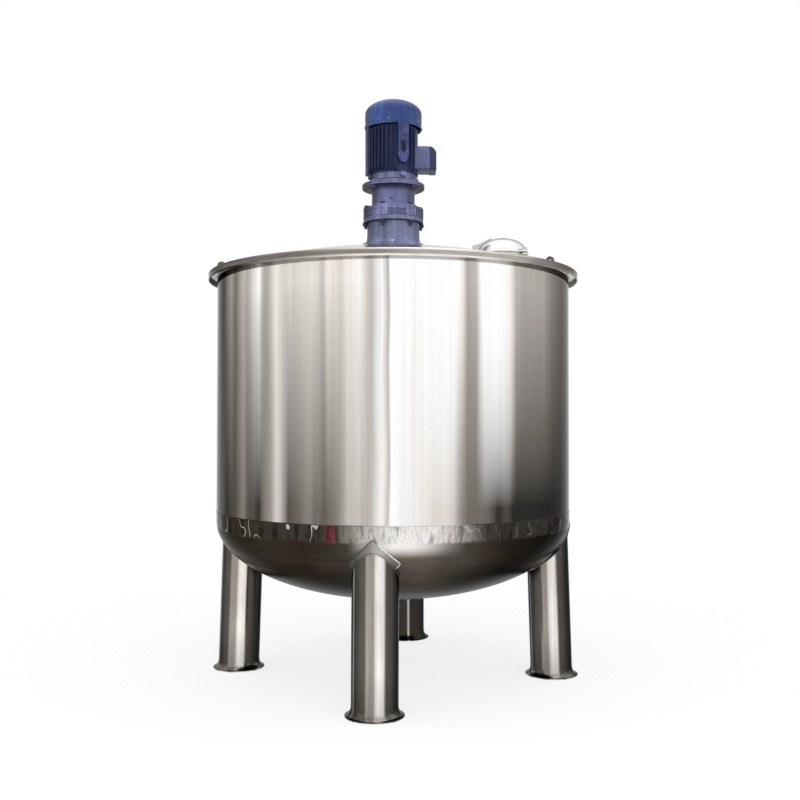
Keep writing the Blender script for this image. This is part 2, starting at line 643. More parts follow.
def leg_steel():
    """Belt-polished pipe: a bright stripe down its front and back between dark brown flanks, and a
    mottled mirror on the spun foot, whose lip glints."""
    material, tree, shader = empty_material("leg_steel")
    place, height = round_share(tree, leg_place(tree))
    pipe = tones(tree, place, (
        (-180, 215, 0.06), (-166, 150, 0.1), (-150, 70, 0.12), (-100, 56, 0.08), (-72, 52, 0.04),
        (-66, 150), (-61, 60, 0.06), (-52, 70, 0.06), (-40, 84, 0.14), (-29, 88, 0.14), (-26, 140, 0.1),
        (-23, 160, 0.09), (-15, 148, 0.1), (-7, 156, 0.1), (-4, 214, 0.07), (4, 244, 0.05),
        (17, 228, 0.05), (21, 120, 0.1), (24, 84, 0.14), (38, 74, 0.14), (48, 54, 0.06), (62, 46, 0.02),
        (100, 44), (150, 70, 0.1), (166, 150, 0.1), (179, 215, 0.06),
    ))
    belt = noise(tree, 70.0, (1.0, 1.0, 0.03), 5.0, 0.7)
    slow = noise(tree, 7.0, (1.0, 1.0, 0.5), 3.0)
    light = times(tree, spread(tree, belt, 0.84, 1.16), spread(tree, slow, 0.8, 1.15))
    light = times(tree, light, between(tree, height, 0.03, 0.14, 0.72, 1.0))
    blotches = noise(tree, 30.0, (1.0, 1.0, 1.6), 4.0, 0.6)
    flare = blend_colour(tree, between(tree, blotches, 0.40, 0.64), tone(58, 0.1), tone(150, 0.08))
    on_foot = between(tree, height, FOOT_RISE * 0.8, FOOT_RISE * 0.25, 0.0, 0.6, True)
    glints = between(tree, noise(tree, 26.0), 0.42, 0.5, 0.2, 0.9)
    lip = times(tree, between(tree, height, 0.0034, 0.0022), glints)
    skin = blend_colour(tree, on_foot, lit(tree, pipe, light), flare)
    skin = blend_colour(tree, lip, skin, tone(225, 0.03))
    set_inputs(
        tree, shader, Base_Color=skin, Metallic=1.0, Specular_Tint=DULL_GRAZING,
        Roughness=spread(tree, belt, 0.14, 0.26),
    )
    return material


pipe_metal = leg_steel()
shaded_pipe = catching_steel("shaded_pipe_steel", (
    (-180, 70, 0.1), (-60, 46, 0.06), (-12, 58, 0.12), (2.5, 66, 0.12), (4, 185, 0.04),
    (8, 185, 0.04), (10, 60, 0.12), (40, 50, 0.12), (80, 42), (179, 70, 0.1),
), 0.16)
STRIPE_TURNS = {"front": 5.0, "right": -6.0, "back": 0.0, "left": 3.0}
for side, turn in LEG_TURNS:
    walls, cut = leg_wall(turn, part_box(f"leg_{side}")[1].z)
    pipe = note_axis(surface(f"pipe_{side}", walls), turn, STRIPE_TURNS[side])
    dress(pipe, shaded_pipe if side == "back" else pipe_metal, [f"leg_{side}"])
    note_axis(bead(f"pipe_weld_{side}", cut, PIPE_BEAD, pad_metal), turn, CATCH_TURNS[side])


# Flange and rim: a flat ring welded round the top of the shell, and the lid's edge folded down over
# it, with a rolled lip, so that the band round the tank shows two bright lines with a dull web between.
RIM_RADIUS = 0.630
RIM_PLATE = 0.0042
CROWN_RADIUS = 0.590
RIM_WEB = 0.0016
rim_low, rim_high = ends_of("lid_rim")
flange_low, flange_high = ends_of("shell_flange")
rim_corners = [
    (RIM_RADIUS - 0.0012, rim_high, 0.0030), (RIM_RADIUS, rim_high - 0.0055, 0.0025),
    (RIM_RADIUS - RIM_WEB, rim_high - 0.0085, 0.0015), (RIM_RADIUS - RIM_WEB, rim_low + 0.0085, 0.0015),
    (RIM_RADIUS, rim_low + 0.0055, 0.0020), (RIM_RADIUS - 0.0006, rim_low, 0.0020),
    (RIM_RADIUS - RIM_PLATE, rim_low, 0.0015), (RIM_RADIUS - RIM_PLATE, rim_high - RIM_PLATE, 0.0005),
    (CROWN_RADIUS + GAP, rim_high - RIM_PLATE, 0), (CROWN_RADIUS + GAP, rim_high, 0),
]


def blend_number(tree, share, first, second):
    return node(tree, "ShaderNodeMix", {"data_type": "FLOAT"}, {0: share, 2: first, 3: second}).outputs[0]


def rolled_steel():
    """Rolled and polished band: a brown web between two bright edges, all of it dark at the sides,
    and a pale scaled inner face, which the shell's mirror shows as a light line under the lip."""
    material, tree, shader = empty_material("rolled_steel")
    place, height = round_share(tree)
    web = bands(tree, place, (
        (-180, MAUVE), (-95, UMBER), (-82, SOOT), (-64, UMBER), (-56, OLIVE), (-30, OLIVE), (-14, STONE),
        (-4, STONE), (8, MAUVE), (36, MAUVE), (44, STONE), (56, OLIVE), (82, OLIVE), (100, STONE),
        (179, MAUVE),
    ))
    edge = bands(tree, place, (
        (-180, PEARL), (-95, STONE), (-82, SOOT), (-66, UMBER), (-50, UMBER), (-38, STONE), (-26, STONE),
        (-16, MAUVE), (-10, OAT), (4, CREAM), (18, CREAM), (30, PEARL), (40, OAT), (46, STONE),
        (56, OLIVE), (82, UMBER), (100, MAUVE), (179, PEARL),
    ))
    low_edge = bands(tree, place, (
        (-180, PEARL), (-95, UMBER), (-82, SOOT), (-48, SOOT), (-38, STONE), (-24, MAUVE), (-8, CREAM),
        (24, CREAM), (33, OAT), (42, STONE), (60, STONE), (82, OAT), (179, PEARL),
    ))
    on_edge = between(tree, height, rim_high - 0.0070, rim_high - 0.0045)
    on_low = between(tree, height, rim_low + 0.0070, rim_low + 0.0045)
    marks = noise(tree, 24.0, (1.0, 1.0, 9.0), 5.0, 0.6)
    skin = blend_colour(tree, on_low, blend_colour(tree, on_edge, web, edge), low_edge)
    ground = {0: own_place(tree), 1: (1.0, 1.0, 0.0)}
    flat = node(tree, "ShaderNodeVectorMath", {"operation": "MULTIPLY"}, ground).outputs[0]
    reach = node(tree, "ShaderNodeVectorMath", {"operation": "LENGTH"}, {0: flat}).outputs["Value"]
    under = between(tree, height, rim_high - 0.0005, rim_high - 0.0020)
    inside = times(tree, between(tree, reach, RIM_RADIUS - 0.0030, RIM_RADIUS - 0.0038), under)
    skin = blend_colour(tree, inside, lit(tree, skin, spread(tree, marks, 0.85, 1.15)), GLOW)
    set_inputs(
        tree, shader, Base_Color=skin, Metallic=between(tree, inside, 0.0, 1.0, 1.0, 0.0),
        Specular_Tint=GRAZING, Roughness=blend_number(tree, inside, spread(tree, marks, 0.12, 0.20), 0.6),
    )
    return material


rim_steel = rolled_steel()
rim_piece = surface("lid_edge", turned(softened(rim_corners), 240), True, sharp=55.0)
dress(rim_piece, rim_steel, ["lid_rim"])
flange_in, flange_out = VESSEL_RADIUS + GAP, RIM_RADIUS - RIM_PLATE - GAP
flange_piece = lathed("shell_ring", [
    (flange_in, flange_high, 0), (flange_out, flange_high, 0.001), (flange_out, flange_low, 0.001),
    (flange_in, flange_low, 0),
], 240)
ring_steel = catching_steel("ring_steel", (
    (-180, PEARL), (-95, UMBER), (-82, SOOT), (-66, UMBER), (-56, OLIVE), (-47, MAUVE), (-39, MAUVE),
    (-32, CREAM), (-14, GLOW), (-8, PEARL), (0, GLOW), (56, GLOW), (70, PEARL), (82, OAT), (100, OAT),
    (179, PEARL),
), 0.10, on_leg=False, grazing=WHITE, ripple=0.0, metallic=0.35)
dress(flange_piece, ring_steel, ["shell_flange"])
bead("flange_weld", ring_path(VESSEL_RADIUS + 0.0012, flange_low - 0.0004), PIPE_BEAD, ring_steel)


# Lid crown: a low cap of 4 mm sheet, polished, with holes for the shaft and the manhole neck.
CROWN_RISE = 0.0894
CROWN_WALL = 0.004
CROWN_BEAD = 0.0015
SHAFT_HOLE = 0.030
MANHOLE_X = 0.378
MANHOLE = (MANHOLE_X, 0.0)
NECK_RADIUS = 0.080


def crown_height(radius):
    """Outside of the crown: a ball cap of the crown's rise over its radius."""
    ball = (CROWN_RADIUS ** 2 + CROWN_RISE ** 2) / (2 * CROWN_RISE)
    return rim_high + CROWN_RISE - ball + np.sqrt(ball ** 2 - np.square(radius))


def cut_through(piece, cutter):
    """Takes a closed cutter's room out of a piece and keeps the result as the piece's mesh."""
    modifier = piece.modifiers.new("cut", "BOOLEAN")
    modifier.operation = "DIFFERENCE"
    modifier.solver = "EXACT"
    modifier.object = cutter
    bpy.context.view_layer.update()
    made = bpy.data.meshes.new_from_object(piece.evaluated_get(bpy.context.evaluated_depsgraph_get()))
    piece.modifiers.clear()
    piece.data = made
    bpy.data.objects.remove(cutter, do_unlink=True)
    made.shade_smooth()
    made.set_sharp_from_angle(angle=math.radians(40))


def post(radius, low, high):
    """Profile of a plain round post, the cutter for a round hole."""
    return [(0.0, low), (radius, low), (radius, high), (0.0, high)]


crown_r = np.linspace(SHAFT_HOLE, CROWN_RADIUS, 48)
crown_profile = np.concatenate([
    np.stack([crown_r, crown_height(crown_r)], -1),
    np.stack([crown_r[::-1], crown_height(crown_r[::-1]) - CROWN_WALL], -1),
])
crown_piece = surface("lid_cap", turned(crown_profile, 192), True)
hole_profile = post(NECK_RADIUS + GAP, rim_high - 0.03, rim_high + 0.2)
cut_through(crown_piece, surface("hole", turned(hole_profile, 96, MANHOLE)))
crown_steel = worked_steel("crown_steel", (0.40, 0.37, 0.34), 0.16, scale=40.0, shade=0.14, rough=0.06)
dress(crown_piece, crown_steel, ["lid_crown"])
bead("crown_weld", ring_path(CROWN_RADIUS, rim_high), CROWN_BEAD, weld_steel)


# Lifting lugs: three drilled tabs of 8 mm plate, edge on to the tank and welded to the rim.
LUG_TURNS = (-66.0, 54.0, 174.0)
LUG_CIRCLE, LUG_HALF, LUG_HEIGHT, LUG_THICK, LUG_HOLE, LUG_BEAD = 0.605, 0.014, 0.0185, 0.008, 0.0055, 0.0018


def placed(grid, origin, right, up, out):
    """Grid whose x, y and z run along three given directions from an origin."""
    return np.asarray(origin) + grid @ np.stack([right, up, out])


def lug_grid(turn):
    """Tab about its hole: each ring runs from the hole's rim out over the face, round and back."""
    angle = full_turn(48)
    shoulder = LUG_HEIGHT - LUG_HALF
    c, s = np.cos(angle), np.sin(angle)
    foot_reach = np.minimum(LUG_HALF / np.maximum(np.abs(c), 1e-6), shoulder / np.maximum(-s, 1e-6))
    outline = np.where(s < 0, foot_reach, LUG_HALF)
    half = LUG_THICK / 2
    front = [(LUG_HOLE, half - 0.0006), (LUG_HOLE + 0.0006, half), (-0.0008, half), (0, half - 0.0008)]
    rings = front + [(radius, -depth) for radius, depth in front[::-1]]
    rows = []
    for radius, depth in rings:
        reach = np.full(48, radius) if radius > 0 else outline + radius
        rows.append(np.stack([reach * c, shoulder + reach * s, np.full(48, depth)], -1))
    origin = plan(turn, LUG_CIRCLE, rim_high + GAP)
    return placed(np.stack(rows), origin, plan(turn, 1.0), UP, plan(turn + 90, 1.0))


for number, turn in enumerate(LUG_TURNS):
    lug = surface(f"lug_{number + 1}", lug_grid(turn), True)
    dress(lug, pipe_steel, [f"lifting_lug_{number + 1}"])
    corners = np.array([(-1, -1), (1, -1), (1, 1), (-1, 1)]) * (LUG_HALF, LUG_THICK / 2)
    loop = np.concatenate([np.linspace(*corners[[n, n - 3]], 6, endpoint=False) for n in range(4)])
    path = plan(turn, LUG_CIRCLE, rim_high) + loop @ np.stack([plan(turn, 1.0), plan(turn + 90, 1.0)])
    bead(f"lug_weld_{number + 1}", path, LUG_BEAD, weld_steel)


# Manhole neck: a short pipe through the lid with a turned flange, two hinge ears and two lugs that
# the hand screws pull down on, welded to the crown.
NECK_WALL, NECK_FLANGE, FLANGE_THICK, NECK_BEAD = 0.003, 0.089, 0.006, 0.0025
KNUCKLE, EAR_THICK, EAR_INNER = 0.0085, 0.006, 0.0165
SCREW_TURNS = (43.0, 137.0)
SCREW_CIRCLE, TAB_WIDTH, TAB_OUT, TAB_IN = 0.0985, 0.022, 0.0115, 0.023
neck_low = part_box("manhole_neck")[0].z
neck_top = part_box("manhole_gasket")[0].z - GAP
pin_low, pin_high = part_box("manhole_hinge_pin")
PIN_X, PIN_Z = (pin_low.x + pin_high.x) / 2, (pin_low.z + pin_high.z) / 2
ON_SIDE = (np.array([1.0, 0, 0]), UP, np.array([0, 1.0, 0]))


def slab(outline, low, high, edge=0.001, steps=4):
    """Plate: an outline carried from low to high, drawn in by a quarter circle at each rim, and
    closed at its middle."""
    outline = np.asarray(outline, float)
    t = np.linspace(0.0, math.pi / 2, steps)
    inset = np.concatenate([edge * (1 - np.sin(t)), edge * (1 - np.cos(t))])
    height = np.concatenate([low + edge * (1 - np.cos(t)), high - edge * (1 - np.sin(t))])
    middle = outline.mean(0)
    arm = outline - middle
    length = np.linalg.norm(arm, axis=1, keepdims=True)
    rings = middle + arm * (1 - inset[:, None, None] / length)
    rings = np.concatenate([rings, np.broadcast_to(height[:, None, None], (*rings.shape[:2], 1))], -1)
    ends = [np.broadcast_to((*middle, z), (1, len(outline), 3)) for z in (low, high)]
    return np.concatenate([ends[0], rings, ends[1]])


def rounded_box(width, height, corner, steps=6):
    """Outline of a rectangle with quarter-circle corners, about its middle."""
    t = np.linspace(0.0, math.pi / 2, steps)
    sides = []
    for start, x, y in ((0.0, 1, 1), (math.pi / 2, -1, 1), (math.pi, -1, -1), (math.pi * 1.5, 1, -1)):
        centre = (x * (width / 2 - corner), y * (height / 2 - corner))
        sides.append(np.array(centre) + corner * np.stack([np.cos(start + t), np.sin(start + t)], -1))
    return np.concatenate(sides)


def manhole_tab(turn, low, high):
    """Tab that stands out from the manhole at a turn, between two heights."""
    shape = slab(rounded_box(TAB_WIDTH, TAB_OUT + TAB_IN, TAB_WIDTH * 0.4), low, high)
    middle = np.array([MANHOLE_X, 0, 0]) + plan(turn, SCREW_CIRCLE + (TAB_OUT - TAB_IN) / 2)
    return placed(shape, middle, plan(turn + 90, 1.0), plan(turn, 1.0), UP)


def ear_side(inner):
    """Hinge ear: round about the pin and straight back to the neck."""
    t = np.radians(np.linspace(0, 240, 16))
    ledge, foot = neck_top - GAP, neck_top - FLANGE_THICK
    back = MANHOLE_X - NECK_RADIUS + 0.002
    outline = np.concatenate([
        np.stack([PIN_X + KNUCKLE * np.cos(t), PIN_Z + KNUCKLE * np.sin(t)], -1),
        [(back, foot), (back, ledge), (PIN_X + KNUCKLE, ledge)],
    ])
    shape = slab(outline, inner, inner + EAR_THICK, 0.0008)
    return placed(shape, (0, 0, 0), *ON_SIDE)


neck_piece = lathed("neck_pipe", [
    (NECK_RADIUS - NECK_WALL, neck_top, 0.0006), (NECK_FLANGE, neck_top, 0.0012),
    (NECK_FLANGE, neck_top - FLANGE_THICK, 0.0012), (NECK_RADIUS, neck_top - FLANGE_THICK, 0.002),
    (NECK_RADIUS, neck_low, 0.0004), (NECK_RADIUS - NECK_WALL, neck_low, 0.0004),
], centre=MANHOLE)
neck_steel = worked_steel("neck_steel", (0.62, 0.60, 0.57), 0.20, scale=80.0, shade=0.10, rough=0.06)
dress(neck_piece, neck_steel, ["manhole_neck"])
neck_lugs = [manhole_tab(turn, neck_top - 0.008, neck_top - 0.0001) for turn in SCREW_TURNS]
neck_ears = [ear_side(EAR_INNER), ear_side(-EAR_INNER - EAR_THICK)]
dress(surface("neck_tabs", neck_lugs + neck_ears), neck_steel)
angle = full_turn(96)
neck_x, neck_y = MANHOLE_X + NECK_RADIUS * np.sin(angle), -NECK_RADIUS * np.cos(angle)
neck_path = np.stack([neck_x, neck_y, crown_height(np.hypot(neck_x, neck_y))], -1)
bead("neck_weld", neck_path, NECK_BEAD, weld_steel)


# Gasket: a white silicone ring that lies on the neck's flange.
def plain_rubber(name, colour, roughness):
    """Moulded rubber or plastic: a fine matt grain and faint clouds of tone."""
    material, tree, shader = empty_material(name)
    cloud = noise(tree, 30.0, detail=3.0)
    darker = [0.75 * share for share in colour]
    skin = blend_colour(tree, spread(tree, cloud, 0.0, 0.35), (*colour, 1.0), (*darker, 1.0))
    set_inputs(
        tree, shader, Base_Color=skin, Roughness=spread(tree, cloud, roughness, roughness + 0.1),
        Normal=bump(tree, noise(tree, 900.0), 0.00006),
    )
    return material


gasket_low, gasket_high = ends_of("manhole_gasket")
gasket_inner, gasket_outer = NECK_RADIUS - NECK_WALL, NECK_FLANGE - NECK_WALL
gasket_piece = lathed("silicone_ring", [
    (gasket_inner, gasket_high, 0.0008), (gasket_outer, gasket_high, 0.0008),
    (gasket_outer, gasket_low, 0.0008), (gasket_inner, gasket_low, 0.0008),
], centre=MANHOLE)
silicone = plain_rubber("white_silicone", (0.78, 0.77, 0.73), 0.5)
dress(gasket_piece, silicone, ["manhole_gasket"])


# Manhole cover: a pressed dome of 3 mm sheet with a flat flange, polished so that it glares.
COVER_RADIUS, COVER_FLANGE, DOME_INSET, DOME_RISE, DOME_WALL = 0.090, 0.006, 0.004, 0.052, 0.003
cover_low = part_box("manhole_cover")[0].z
dome_z = cover_low + COVER_FLANGE
t = np.linspace(0.0, math.pi / 2, 28)
dome_radius = COVER_RADIUS - DOME_INSET
cover_profile = np.concatenate([
    np.stack([dome_radius * np.sin(t), dome_z + DOME_RISE * np.cos(t)], -1),
    softened([
        (COVER_RADIUS, dome_z, 0.001), (COVER_RADIUS, cover_low, 0.001),
        (dome_radius - DOME_WALL, cover_low, 0.0005),
    ]),
    np.stack([(dome_radius - DOME_WALL) * np.sin(t), dome_z + (DOME_RISE - DOME_WALL) * np.cos(t)], -1)[::-1],
])
cover_steel = worked_steel(
    "cover_steel", (0.95, 0.95, 0.95), 0.30, shade=0.04, rough=0.06, grazing=(0.17, 0.165, 0.17, 1.0),
)
cover_piece = surface("domed_cover", turned(cover_profile, 96, MANHOLE))
dress(cover_piece, cover_steel, ["manhole_cover"], "cover")
cover_tabs = [manhole_tab(turn, cover_low, dome_z) for turn in SCREW_TURNS]
dress(surface("cover_tabs", cover_tabs), cover_steel, body="cover")


# Hinge: a strap of bent bar from the pin up onto the dome's shoulder, on a pin with turned heads.
def bevelled_solid(name, solid, edge):
    """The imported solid's own shape with its corners merged, its flats joined and its edges broken."""
    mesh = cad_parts[solid].data.copy()
    shape = bmesh.new()
    shape.from_mesh(mesh)
    bmesh.ops.remove_doubles(shape, verts=shape.verts, dist=0.000005)
    bmesh.ops.dissolve_limit(shape, angle_limit=math.radians(1.0), verts=shape.verts, edges=shape.edges)
    shape.to_mesh(mesh)
    shape.free()
    mesh.materials.clear()
    mesh.shade_smooth()
    mesh.set_sharp_from_angle(angle=math.radians(35))
    piece = bpy.data.objects.new(name, mesh)
    bpy.context.scene.collection.objects.link(piece)
    bevel = piece.modifiers.new("broken edges", "BEVEL")
    bevel.width = edge
    bevel.segments = 2
    bevel.limit_method = "ANGLE"
    bevel.angle_limit = math.radians(35)
    return piece


strap_steel = worked_steel("strap_steel", (0.60, 0.59, 0.59), 0.26, scale=80.0, shade=0.12, rough=0.06)
strap_piece = bevelled_solid("hinge_strap", "manhole_hinge_strap", 0.0010)
dress(strap_piece, strap_steel, ["manhole_hinge_strap"], "cover")
pin_half = (pin_high.y - pin_low.y) / 2
PIN_RADIUS, PIN_HEAD, PIN_HEAD_THICK = 0.004, 0.0065, 0.003
pin_end = [(0, pin_half, 0), (PIN_HEAD, pin_half, 0.001), (PIN_HEAD, pin_half - PIN_HEAD_THICK, 0.0004)]
pin_neck = [(PIN_RADIUS, pin_half - PIN_HEAD_THICK, 0)]
pin_far_end = [(radius, -along, reach) for radius, along, reach in (pin_end + pin_neck)[::-1]]
pin_grid = placed(turned(softened(pin_end + pin_neck + pin_far_end), 32), (PIN_X, 0, PIN_Z), *ON_SIDE)
dress(surface("hinge_pin", pin_grid), neck_steel, ["manhole_hinge_pin"])


# Hand screws: turned stainless knobs with six lobes, on 8 mm screws through the cover's tabs.
KNOB_RADIUS, KNOB_LOBES, STEM_RADIUS = 0.0105, 6, 0.004
for number, turn in enumerate(SCREW_TURNS):
    screw_low, screw_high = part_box(f"hand_screw_{number + 1}")
    angle = full_turn(72)
    lobes = 0.88 + 0.12 * np.cos(KNOB_LOBES * angle)
    knob = softened([
        (0, screw_high.z, 0), (KNOB_RADIUS, screw_high.z, 0.0025), (KNOB_RADIUS, dome_z + 0.0004, 0.0012),
        (STEM_RADIUS, dome_z + 0.0003, 0), (STEM_RADIUS, screw_low.z, 0.0005), (0, screw_low.z, 0),
    ])
    knob_grid = turned(knob, 72)
    fluted = np.where(knob[:, :1] > STEM_RADIUS + 1e-5, lobes[None], 1.0)
    knob_grid[..., :2] *= fluted[..., None]
    knob_grid += np.array([MANHOLE_X, 0, 0]) + plan(turn, SCREW_CIRCLE)
    knob_piece = surface(f"knob_{number + 1}", knob_grid)
    dress(knob_piece, neck_steel, [f"hand_screw_{number + 1}"], "cover")


# Drive seat: a turned pad welded to the crown, that gives the gearbox a level face.
seat_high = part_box("drive_seat")[1]
SEAT_RADIUS = seat_high.x
seat_foot, bore_foot = (float(crown_height(radius)) for radius in (SEAT_RADIUS, SHAFT_HOLE))
seat_piece = lathed("seat_plate", [
    (SHAFT_HOLE, seat_high.z, 0.001), (SEAT_RADIUS, seat_high.z, 0.0015),
    (SEAT_RADIUS, seat_foot - 0.001, 0), (SHAFT_HOLE, bore_foot + GAP, 0),
], 120)
dress(seat_piece, rim_steel, ["drive_seat"])
bead("seat_weld", ring_path(SEAT_RADIUS, seat_foot + 0.001, 120), PAD_BEAD, weld_steel)


# Gearbox base: cast iron with a bolted foot flange, a plain barrel and a top flange, under grey-blue
# enamel that has gone dull and dusty on its ledges.
DUST = (0.30, 0.31, 0.36)
EVEN_ROUNDS = ((-180, 1.0), (179, 1.0))


def enamel(name, colour, worn, roughness=0.42, dust=DUST, rounds=EVEN_ROUNDS, under=0.22):
    """Machine enamel on a casting: brush-thin patches and runs, orange peel, dust where it faces up,
    grime where it faces down, and a share of its tone for each turn about the drive."""
    material, tree, shader = empty_material(name)
    patches = noise(tree, 22.0, detail=5.0, roughness=0.6)
    runs = noise(tree, 85.0, (1.0, 1.0, 0.08), 4.0, 0.6)
    skin = blend_colour(tree, between(tree, patches, 0.38, 0.68), (*colour, 1.0), (*worn, 1.0))
    facing = node(tree, "ShaderNodeNewGeometry").outputs["Normal"]
    upward = node(tree, "ShaderNodeSeparateXYZ", {}, {0: facing}).outputs[2]
    clumps = between(tree, noise(tree, 60.0), 0.35, 0.65)
    settled = times(tree, between(tree, upward, 0.35, 0.95, 0.0, 0.5), clumps)
    skin = blend_colour(tree, settled, skin, (*dust, 1.0))
    light = times(tree, between(tree, upward, -0.8, -0.1, under, 1.0), spread(tree, runs, 0.72, 1.28))
    light = times(tree, light, bands(tree, round_share(tree)[0], rounds))
    peel = noise(tree, 420.0, detail=2.0)
    set_inputs(
        tree, shader, Base_Color=lit(tree, skin, light), Metallic=0.0, Normal=bump(tree, peel, 0.00012),
        Specular_IOR_Level=0.25, Roughness=spread(tree, patches, roughness, roughness + 0.15),
    )
    return material


BARREL_ROUNDS = (
    (-180, 0.8), (-100, 0.5), (-88, 0.4), (-56, 0.55), (-40, 0.9), (-28, 1.15), (-18, 0.85), (-8, 0.95),
    (-2, 1.15), (8, 0.95), (24, 1.1), (32, 1.25), (44, 1.0), (58, 0.7), (88, 0.8), (120, 0.8),
    (179, 0.8),
)
base_low, base_high = ends_of("gearbox_base")
FOOT_FLANGE, FOOT_THICK, BARREL, BASE_TOP, BASE_TOP_THICK = 0.115, 0.012, 0.0905, 0.104, 0.014
SHAFT_RADIUS, BORE_DEPTH = 0.020, 0.045
barrel_high = base_high - BASE_TOP_THICK
bore_radius, bore_high = SHAFT_RADIUS + GAP, base_low + BORE_DEPTH
base_piece = lathed("gear_base", [
    (0, base_high, 0), (BASE_TOP, base_high, 0.0015), (BASE_TOP, barrel_high, 0.0015),
    (BARREL, barrel_high, 0.004), (BARREL, base_low + FOOT_THICK + 0.038, 0),
    (BARREL + 0.0010, base_low + FOOT_THICK + 0.016, 0.015), (BARREL + 0.0115, base_low + FOOT_THICK, 0.004),
    (FOOT_FLANGE, base_low + FOOT_THICK, 0.002), (FOOT_FLANGE, base_low, 0.001),
    (bore_radius, base_low, 0.001), (bore_radius, bore_high, 0), (0, bore_high, 0),
], 120, False)
base_paint = enamel("base_enamel", (0.178, 0.204, 0.360), (0.245, 0.270, 0.430), rounds=BARREL_ROUNDS)
dress(base_piece, base_paint, ["gearbox_base"])


# Foot bolts: six zinc-plated hexagon heads with washers, round the foot of the gearbox base.
def hexagon(across):
    """Outline of a hexagon: at each angle its reach is half the flats over the cosine to the flat."""
    angle = full_turn(24)
    reach = across / np.cos((angle + math.pi / 6) % (math.pi / 3) - math.pi / 6)
    return np.stack([reach * np.cos(angle), reach * np.sin(angle)], -1)


def circle(radius, steps=24):
    angle = full_turn(steps)
    return np.stack([radius * np.cos(angle), radius * np.sin(angle)], -1)


def bolt_heads(turns, radius, z, across, hanging=False):
    """A washer and a head for each turn, standing up from a face or hanging down under it."""
    head = slab(hexagon(across), 0.0015, 0.0015 + across * 0.8, across * 0.12)
    washer = slab(circle(across * 1.25), 0.0, 0.0015, 0.0003)
    mirror = np.array([1.0, 1.0, -1.0 if hanging else 1.0])
    return [part * mirror + plan(turn, radius, z) for turn in turns for part in (washer, head)]


def plated_steel():
    """Zinc plate: bright, slightly blue, with dull blooms."""
    material, tree, shader = empty_material("zinc_plate")
    bloom = noise(tree, 120.0, detail=4.0)
    dull = between(tree, bloom, 0.4, 0.65)
    set_inputs(
        tree, shader, Base_Color=blend_colour(tree, dull, (0.74, 0.76, 0.80, 1.0), (0.50, 0.50, 0.52, 1.0)),
        Metallic=1.0, Roughness=between(tree, bloom, 0.4, 0.65, 0.22, 0.45),
    )
    return material


zinc = plated_steel()
sixths = np.arange(6) * 60.0
FOOT_CIRCLE = 0.1080
foot_bolts = bolt_heads(-2.0 + sixths, FOOT_CIRCLE, base_low + FOOT_THICK, across=0.0056)
dress(surface("foot_bolts", foot_bolts), zinc)


# Pin ring and input housing: castings with six wide ears, bolted through onto the base.
EAR_CENTRES = -22.0 + sixths
EAR_SPREAD, HOUSING, RECESS, EARED_STEPS = 25.0, 0.104, 0.0075, 216
ring_low, ring_high = ends_of("gearbox_pin_ring")
input_low, input_high = ends_of("gearbox_input_housing")


def eared(profile):
    """Lathe surface whose outer radius falls by the recess between ears, with short ramps."""
    grid = turned(profile, EARED_STEPS)
    turn = np.degrees(full_turn(EARED_STEPS))
    off = np.abs((turn - EAR_CENTRES[0] + 30.0) % 60.0 - 30.0)
    ear = np.clip((EAR_SPREAD / 2 + 2.5 - off) / 5.0, 0.0, 1.0)
    ear = ear * ear * (3 - 2 * ear)
    radius = np.asarray(profile)[:, :1]
    drop = RECESS * np.clip((radius - HOUSING + 0.02) / 0.015, 0.0, 1.0) * (1 - ear)
    grid[..., :2] *= ((radius - drop) / np.maximum(radius, 1e-9))[..., None]
    return grid


gear_paint = enamel("gear_enamel", (0.165, 0.175, 0.360), (0.240, 0.250, 0.460), rounds=(
    (-180, 0.8), (-100, 0.3), (-62, 0.3), (-48, 0.7), (-38, 1.15), (-20, 1.3), (5, 1.1), (24, 1.25),
    (40, 0.9), (58, 0.5), (88, 0.35), (140, 0.8), (179, 0.8),
))
ring_profile = softened([
    (0, ring_high, 0), (HOUSING - 0.021, ring_high, 0), (HOUSING, ring_high, 0.0018),
    (HOUSING, ring_low, 0.0018), (HOUSING - 0.021, ring_low, 0), (0, ring_low, 0),
])
ring_paint = enamel("ring_enamel", (0.165, 0.175, 0.360), (0.240, 0.250, 0.460), rounds=(
    (-180, 0.8), (-100, 0.3), (-62, 0.3), (-48, 0.7), (-38, 1.15), (-13, 1.2), (-9, 0.62), (24, 0.62),
    (28, 1.2), (44, 0.95), (58, 0.5), (88, 0.35), (140, 0.8), (179, 0.8),
))
dress(surface("pin_ring", eared(ring_profile)), ring_paint, ["gearbox_pin_ring"])
INPUT_FLANGE, NECK, PLATE, PLATE_THICK = 0.016, 0.0744, 0.108, 0.007
flange_z = input_low + INPUT_FLANGE
plate_z = input_high - PLATE_THICK
input_profile = softened([
    (0, input_high, 0), (PLATE, input_high, 0.001), (PLATE, plate_z, 0.0015),
    (NECK + 0.010, plate_z, 0.004), (NECK, plate_z - 0.012, 0.006), (NECK, flange_z, 0.005),
    (HOUSING - 0.021, flange_z, 0), (HOUSING, flange_z, 0.0022), (HOUSING, input_low, 0.0012),
    (HOUSING - 0.021, input_low, 0), (0, input_low, 0),
])
input_grid = turned(input_profile, EARED_STEPS)
low_part = input_profile[:, 1] < flange_z + 0.0001
input_grid[low_part] = eared(input_profile[low_part])
dress(surface("input_housing", input_grid), gear_paint, ["gearbox_input_housing"])
BOLT_CIRCLE, NUT_CIRCLE = 0.0925, 0.0965
ear_bolts = bolt_heads(EAR_CENTRES, BOLT_CIRCLE, flange_z, across=0.0085)
ear_nuts = bolt_heads(EAR_CENTRES, NUT_CIRCLE, barrel_high, across=0.0100, hanging=True)
tail = slab(circle(0.0048, 20), barrel_high - 0.019, barrel_high, 0.0008)
